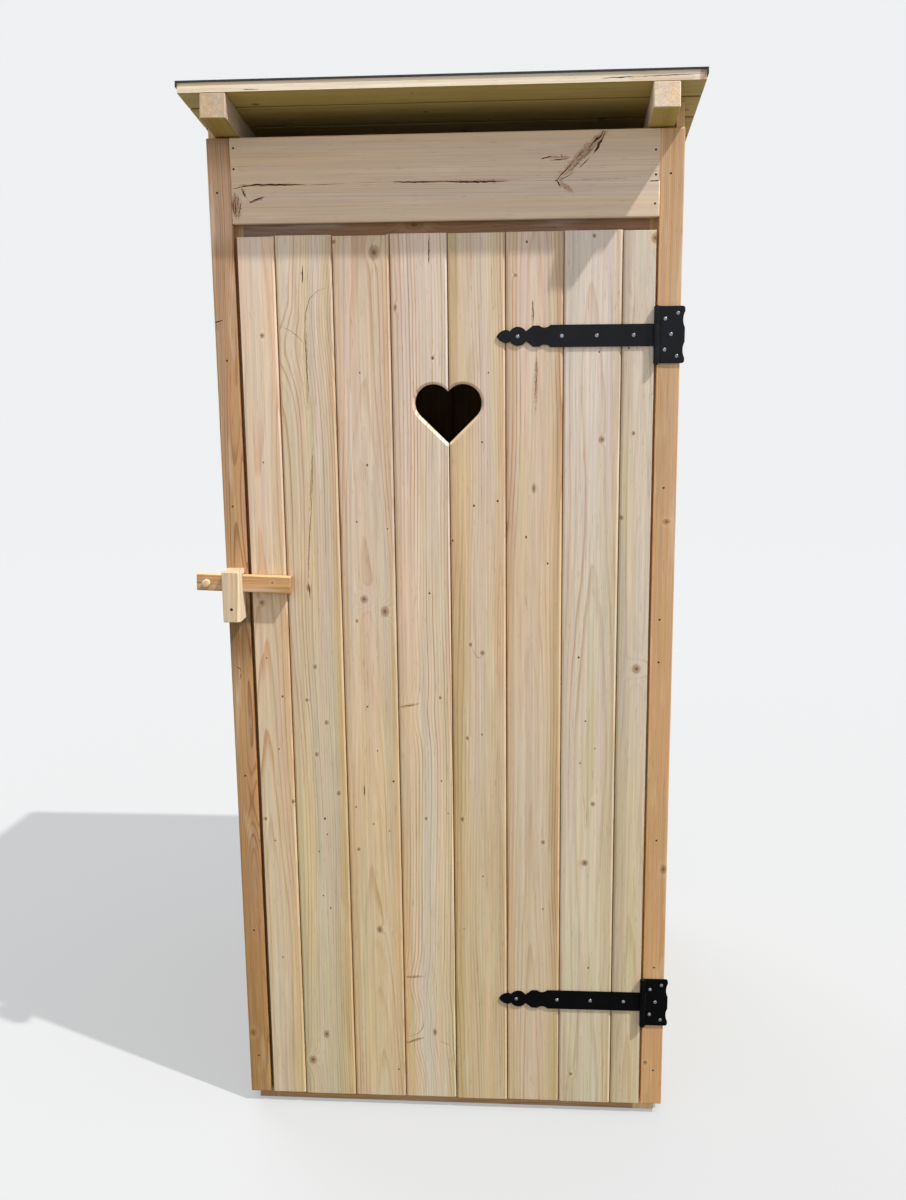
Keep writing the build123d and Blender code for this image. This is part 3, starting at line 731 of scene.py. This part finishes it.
def lathe(profile, segments):
    """A closed solid of revolution about Z, from (radius, height) pairs in mm, top to bottom."""
    bm = bmesh.new()
    rings = []
    for radius, height in profile:
        if radius == 0:
            rings.append([bm.verts.new((0, 0, height * MM))] * segments)
        else:
            rings.append([
                bm.verts.new((
                    radius * MM * math.cos(2 * math.pi * i / segments),
                    radius * MM * math.sin(2 * math.pi * i / segments), height * MM,
                )) for i in range(segments)
            ])
    for one, two in zip(rings, rings[1:]):
        for i in range(segments):
            j = (i + 1) % segments
            corners = list(dict.fromkeys((one[i], two[i], two[j], one[j])))
            bm.faces.new(corners)
    bmesh.ops.recalc_face_normals(bm, faces=bm.faces)
    return bm


def stamped(proto, places):
    """One bmesh with a copy of the prototype at each matrix."""
    bm = bmesh.new()
    for matrix in places:
        part = proto.copy()
        part.transform(matrix)
        mesh = bpy.data.meshes.new("stamp")
        part.to_mesh(mesh)
        part.free()
        bm.from_mesh(mesh)
        bpy.data.meshes.remove(mesh)
    return bm


def facing(x, y, z, towards, turn=0.0, scale=(1.0, 1.0, 1.0)):
    """A matrix that puts a prototype's foot at a place in mm, its +Z turned a given way."""
    turned = Vector(towards).to_track_quat("Z", "Y").to_matrix().to_4x4()
    spin = Matrix.Rotation(turn, 4, "Z")
    place = Matrix.Translation(Vector((x, y, z)) * MM)
    return place @ turned @ spin @ Matrix.Diagonal((*scale, 1.0))


# Screws with a cross slot, nails and dots, each with its foot at the origin
front = (0, -1, 0)
screw_head = ((0, 1.2), (1.5, 1.15), (2.7, 0.9), (3.4, 0.45), (3.7, 0.0), (3.7, -0.4), (0, -0.4))
screw = lathe(screw_head, 24)
slots = bmesh.new()
for sizes in ((4.4, 0.9), (0.9, 4.4)):
    bar_box = bmesh.ops.create_cube(slots, size=1.0)["verts"]
    bmesh.ops.scale(slots, vec=(sizes[0] * MM, sizes[1] * MM, 1.8 * MM), verts=bar_box)
    bmesh.ops.translate(slots, vec=(0, 0, 1.3 * MM), verts=bar_box)
screw = carved(screw, slots)
nail = lathe(((0, 0.25), (1.5, 0.22), (2.1, 0.08), (2.3, -0.15), (2.3, -0.4), (0, -0.4)), 12)
dot = lathe(((0, 0.06), (0.7, 0.05), (1.0, -0.02), (1.0, -0.3), (0, -0.3)), 14)

strap_rows = (
    (UPPER_HINGE, (140.6, 225, 291.6, 361.6)),
    (LOWER_HINGE, (137, 224, 294.5, 365)),
)
strap_screws = [
    facing(x, STRAP_FACE, z, front, rng.uniform(0, 1.5)) for z, row in strap_rows for x in row
]
piece("strap_screws", stamped(screw, strap_screws), [zinc], "door")
plate_holes = ((420.5, 30), (444.4, 40), (431.8, 1), (420.0, -28), (443.4, -40))
plate_screws = [
    facing(x, STRAP_FACE, z + dz, front, rng.uniform(0, 1.5))
    for z in (UPPER_HINGE, LOWER_HINGE) for x, dz in plate_holes
]
piece("plate_screws", stamped(screw, plate_screws), [zinc], "cabin")
keeper_screw = facing(-429.5, KEEPER_FACE, 1129, front, 0.5, (0.8, 0.8, 0.8))
piece("keeper_screw", stamped(screw, [keeper_screw]), [nail_steel], "cabin")

# Nails: those that show at the front, then two to a wall board at each rail
nails = [(x, FRONT, z, front) for x, z in (
    (396.7, 1992), (397.6, 1948), (396.9, 1898), (-398.2, 2012), (-399, 1974.5), (-433, 1933),
    (-428.8, 1618), (-429.7, 113), (-428, 411), (-431, 760), (425, 1949), (423, 1013), (428, 345),
    (431, 104), (425, 1363), (423, 1101), (427, 633), (-431, 1330),
)]
rail_nails = (32, 1022)
back_nails = (*rail_nails, 1846)
rafter_foot = 2031
spots = [COVER * k + offset for k in range(-5, 5) for offset in (28, 83)]
for name, side in (("left_wall", -1), ("right_wall", 1)):
    for spot in spots:
        y = wall_joints[name] + spot
        if -470 < y < 478:
            top = rafter_foot - (y + 480) * math.tan(PITCH) + 24
            for z in (*rail_nails, top):
                nails.append((SIDE_FACE * side, y + rng.uniform(-2, 2), z, (side, 0, 0)))
for spot in spots:
    x = wall_joints["back_wall"] + spot
    if abs(x) < 440:
        for z in back_nails:
            nails.append((x + rng.uniform(-2, 2), BACK_FACE, z, (0, 1, 0)))
placed = [facing(x, y, z + rng.uniform(-1.5, 1.5), way) for x, y, z, way in nails]
piece("nails", stamped(nail, placed), [nail_steel], "cabin")

# Pin knots: small dark dots in the door's face
pins = (
    (-167, 1591), (-157, 1411), (-365, 1417), (84, 1589), (71, 1455), (158, 1832), (297, 1626),
    (353, 1633), (365, 1471), (-119, 1284), (-181, 1298), (-37, 1153), (-169, 914), (-150, 819),
    (-375, 1016), (-345, 934), (-357, 820), (101, 1339), (54, 1330), (11, 1260), (67, 857),
    (157, 1267), (200, 1214), (263, 1022), (278, 888), (298, 830), (268, 798), (-373, 617),
    (-367, 349), (-265, 668), (-261, 633), (-280, 594), (-274, 494), (-259, 466), (-118, 753),
    (-198, 695), (-162, 658), (-129, 643), (-120, 89), (-18, 755), (-5, 684), (67, 545), (26, 425),
    (193, 474), (290, 342), (-24, 1617),
)
dots = []
for x, z in pins:
    wide = rng.uniform(1.5, 2.5)
    dots.append(facing(x, FRONT, z, front, scale=(wide, wide * rng.uniform(1.0, 1.5), 1.0)))
piece("pin_knots", stamped(dot, dots), [knot_wood], "door")

# Pieces with eased edges, and the cracks that the photograph shows
header_cracks = (
    (((-406, 1938), (-380, 1942), (-355, 1945), (-303, 1944), (-258, 1943)), 3.2, 4.0),
    (((-262, 1943), (-222, 1943), (-180, 1944)), 1.2, 1.2),
    (((-186, 1944), (-150, 1945), (-96, 1945)), 0.7, 0.6),
    (((-100, 1945), (-43, 1944), (0, 1944)), 2.6, 4.0),
    (((-8, 1944), (61, 1942), (123, 1942)), 3.2, 4.0),
    (((120, 1942), (200, 1942), (290, 1940), (388, 1938)), 0.7, 0.6),
    (((384, 1937), (405, 1938)), 2.6, 3.0),
    (((-385, 1940), (-382, 1930), (-377, 1922)), 3.0, 2.5),
    (((-372, 1910), (-362, 1917), (-342, 1922)), 3.0, 2.5),
    (((-398, 1934), (-399, 1905), (-397, 1882)), 2.6, 2.5),
    (((-406, 1918), (-399, 1884)), 1.8, 2.0), (((-386, 1918), (-394, 1884)), 2.0, 2.0),
    (((-392, 1926), (-394, 1904)), 1.8, 2.0), (((-403, 1926), (-401, 1896)), 1.4, 1.5),
    (((183, 1980), (192, 1983), (206, 1986)), 3.0, 2.5),
    (((200, 1978), (218, 1979), (237, 1980)), 2.6, 2.5), (((221, 1990), (224, 1983)), 2.6, 2.0),
    (((302, 2030), (293, 2018), (279, 2006), (270, 1996)), 3.4, 3.0),
    (((266, 1997), (256, 1987), (248, 1980)), 2.4, 2.0),
    (((244, 1975), (232, 1961), (221, 1951), (213, 1940)), 2.2, 2.0),
    (((304, 2029), (298, 2014), (290, 2001), (280, 1986)), 3.0, 3.0),
    (((276, 1983), (266, 1973), (254, 1962)), 2.6, 2.0),
    (((248, 1957), (236, 1950), (218, 1941)), 2.2, 2.0),
    (((297, 2014), (289, 2000), (283, 1990)), 5.0, 3.5), (((291, 2019), (283, 2008)), 4.0, 3.0),
    (((286, 2002), (274, 1991), (262, 1978)), 1.8, 1.5),
    (((256, 1976), (244, 1963), (236, 1957)), 1.6, 1.5),
    (((272, 1990), (262, 1984), (250, 1972)), 1.4, 1.2), (((278, 2000), (270, 1991)), 2.2, 1.5),
    (((213, 1943), (221, 1929)), 3.2, 3.0), (((209, 1939), (217, 1945)), 2.6, 2.5),
)
soften("header_board", 0.8, header_cracks)
trim_cracks = (
    (((-452, 1690), (-441, 1692), (-432, 1695)), 3.0, 5.0),
    (((-447, 1690), (-445, 1673)), 1.6, 3.0),
    (((-440, 998), (-431, 992), (-429, 984)), 2.0, 3.0),
    (((-429, 984), (-434, 968)), 1.6, 3.0),
)
soften("front_trim_left", 0.8, trim_cracks)
soften("front_trim_right", 0.8)
door_cracks = {
    2: ((((-273, 1796), (-274, 1761)), 2.6, 6.0),
        (((-284, 1176), (-281, 1159), (-280, 1136)), 2.2, 4.0),
        (((-221, 1755), (-245, 1747), (-261, 1733), (-271, 1705), (-273, 1650), (-270, 1582),
          (-268, 1517)), 1.9, 1.6),
        (((-266, 1462), (-265, 1430), (-268, 1376), (-272, 1318), (-278, 1260),
          (-282, 1195)), 1.5, 1.2),
        (((-323, 1683), (-300, 1672), (-282, 1657), (-272, 1640)), 1.3, 1.2)),
    3: ((((-180, 746), (-180, 719)), 2.4, 6.0),),
    4: ((((-28, 1850), (-28, 1830), (-29, 1791)), 2.4, 9.0),
        (((-103, 166), (-87, 172), (-75, 178), (-65, 192), (-62, 217)), 1.4, 1.2),
        (((-104, 148), (-91, 157), (-78, 164), (-64, 167)), 1.6, 1.2),
        (((-34, 161), (-20, 156), (-3, 148)), 1.3, 1.2),
        (((-103, 310), (-88, 308), (-71, 310), (-55, 313)), 1.3, 1.2),
        (((-103, 914), (-88, 917), (-72, 918), (-60, 925)), 1.4, 1.2)),
    5: ((((47, 1043), (52, 1030), (59, 1020), (66, 1020), (70, 1028)), 1.3, 1.0),),
    6: ((((168, 1726), (171, 1700), (170, 1676)), 1.6, 3.0),
        (((176, 1627), (178, 1584), (172, 1530)), 1.2, 1.5),
        (((156, 1157), (158, 1128), (163, 1115)), 1.2, 1.0)),
}
for order in range(1, len(door_boards) + 1):
    soften(f"door_board_{order}", 0.5, door_cracks.get(order, ()), segments=1)
for name in ("hinge_strap_upper", "hinge_strap_lower", "hinge_plate_upper", "hinge_plate_lower"):
    soften(name, 0.45)
deck_cracks = (
    (((290, 2103), (330, 2104), (352, 2104)), 2.2, 4.0),
    (((346, 2104), (400, 2105), (477, 2106.5)), 1.6, 4.0),
    (((-477, 2098), (-420, 2098), (-365, 2098.5)), 1.4, 3.0),
    (((-360, 2099), (-326, 2099)), 2.0, 4.0),
)
for name, width, slot, lines in (
    ("latch_keeper", 1.0, "keeper_wood", ()),
    ("latch_bar", 0.8, "bar_wood", ()),
    ("latch_peg", 1.2, "keeper_wood", ()),
    ("rafter_left", 0.8, "roof_timber", ()),
    ("rafter_right", 0.8, "roof_timber", ()),
    ("roof_deck", 0, "roof_timber", deck_cracks),
    ("door_ledge_upper", 0.8, "frame_timber", ()),
    ("door_ledge_lower", 0.8, "frame_timber", ()),
):
    soften(name, width, lines, DECK_FACE)

# Floor, lights and camera

def stage_floor():
    """A round ground, darker where it lights the part than where the camera sees it."""
    mesh = bpy.data.meshes.new("ground")
    bm = bmesh.new()
    bmesh.ops.create_circle(bm, cap_ends=True, radius=40.0, segments=96)
    bm.to_mesh(mesh)
    bm.free()
    ground = bpy.data.objects.new("ground", mesh)
    bpy.context.scene.collection.objects.link(ground)
    material = bpy.data.materials.new("ground")
    material.use_nodes = True
    g = Graph(material.node_tree)
    g.tree.nodes.clear()
    far = g.step(g.vector("LENGTH", g.add("TexCoord").outputs["Object"]), 2.5, 14.0)
    seen = g.add("LightPath")
    shown = g.math("MAXIMUM", seen.outputs["Is Camera Ray"], seen.outputs["Is Glossy Ray"])
    near = g.add("BsdfDiffuse", {"Color": g.mix(shown, GROUND_LIT, GROUND_SHOWN)})
    glow = g.add("Emission", {"Color": SURROUND})
    factor = g.math("MULTIPLY", g.math("MULTIPLY_ADD", far, 0.6, 0.4), shown)
    both = g.add("MixShader", {0: factor, 1: near.outputs[0], 2: glow.outputs[0]})
    g.add("OutputMaterial", {0: both.outputs[0]})
    mesh.materials.append(material)


def lights():
    """A soft surround, one sharp sun from the photograph's side, and two weak lamps."""
    world = bpy.data.worlds.new("studio")
    bpy.context.scene.world = world
    world.use_nodes = True
    g = Graph(world.node_tree)
    g.tree.nodes.clear()
    seen = g.add("LightPath")
    factor = g.math("MAXIMUM", seen.outputs["Is Camera Ray"], seen.outputs["Is Glossy Ray"])
    soft = g.add("Background", {"Color": (0.96, 0.98, 1.0, 1.0), "Strength": 0.88})
    plain = g.add("Background", {"Color": SURROUND, "Strength": 1.0})
    both = g.add("MixShader", {0: factor, 1: soft.outputs[0], 2: plain.outputs[0]})
    g.add("OutputWorld", {0: both.outputs[0]})
    for name, towards, energy, spread, tone in (
        ("key", (0.5, -0.255, 0.82), 4.15, 1, (1.0, 0.98, 0.95)),
        ("fill", (-0.5, -0.8, 0.25), 0.2, 50, (1.0, 1.0, 1.0)),
        ("back", (-0.5, 0.75, 0.5), 1.2, 40, (0.97, 0.98, 1.0)),
    ):
        lamp = bpy.data.lights.new(name, "SUN")
        lamp.energy = energy
        lamp.angle = math.radians(spread)
        lamp.color = tone
        lamp_object = bpy.data.objects.new(name, lamp)
        lamp_object.rotation_euler = Vector(towards).to_track_quat("Z", "Y").to_euler()
        bpy.context.scene.collection.objects.link(lamp_object)
    bpy.context.scene.view_settings.view_transform = "Standard"


def camera():
    """The photograph's view, with its focal length and its height in pixels."""
    focal = 1255.0
    rows = 1200.0
    place = (0.1949, -2.9664, 1.6518)
    heading = math.radians(-4.28)
    down = math.radians(11.71)
    roll = math.radians(-0.64)
    ahead = Vector((
        math.sin(heading) * math.cos(down), math.cos(heading) * math.cos(down), -math.sin(down)
    ))
    level = Vector((math.cos(heading), -math.sin(heading), 0.0))
    rise = level.cross(ahead)
    right = math.cos(roll) * level + math.sin(roll) * rise
    up = math.cos(roll) * rise - math.sin(roll) * level
    data = bpy.data.cameras.new("camera")
    data.sensor_fit = "AUTO"
    data.sensor_width = 36.0
    data.lens = focal / rows * data.sensor_width
    view = bpy.data.objects.new("camera", data)
    view.matrix_world = Matrix((
        (right.x, up.x, -ahead.x, place[0]),
        (right.y, up.y, -ahead.y, place[1]),
        (right.z, up.z, -ahead.z, place[2]),
        (0.0, 0.0, 0.0, 1.0),
    ))
    bpy.context.scene.collection.objects.link(view)
    bpy.context.scene.camera = view


stage_floor()
lights()
camera()
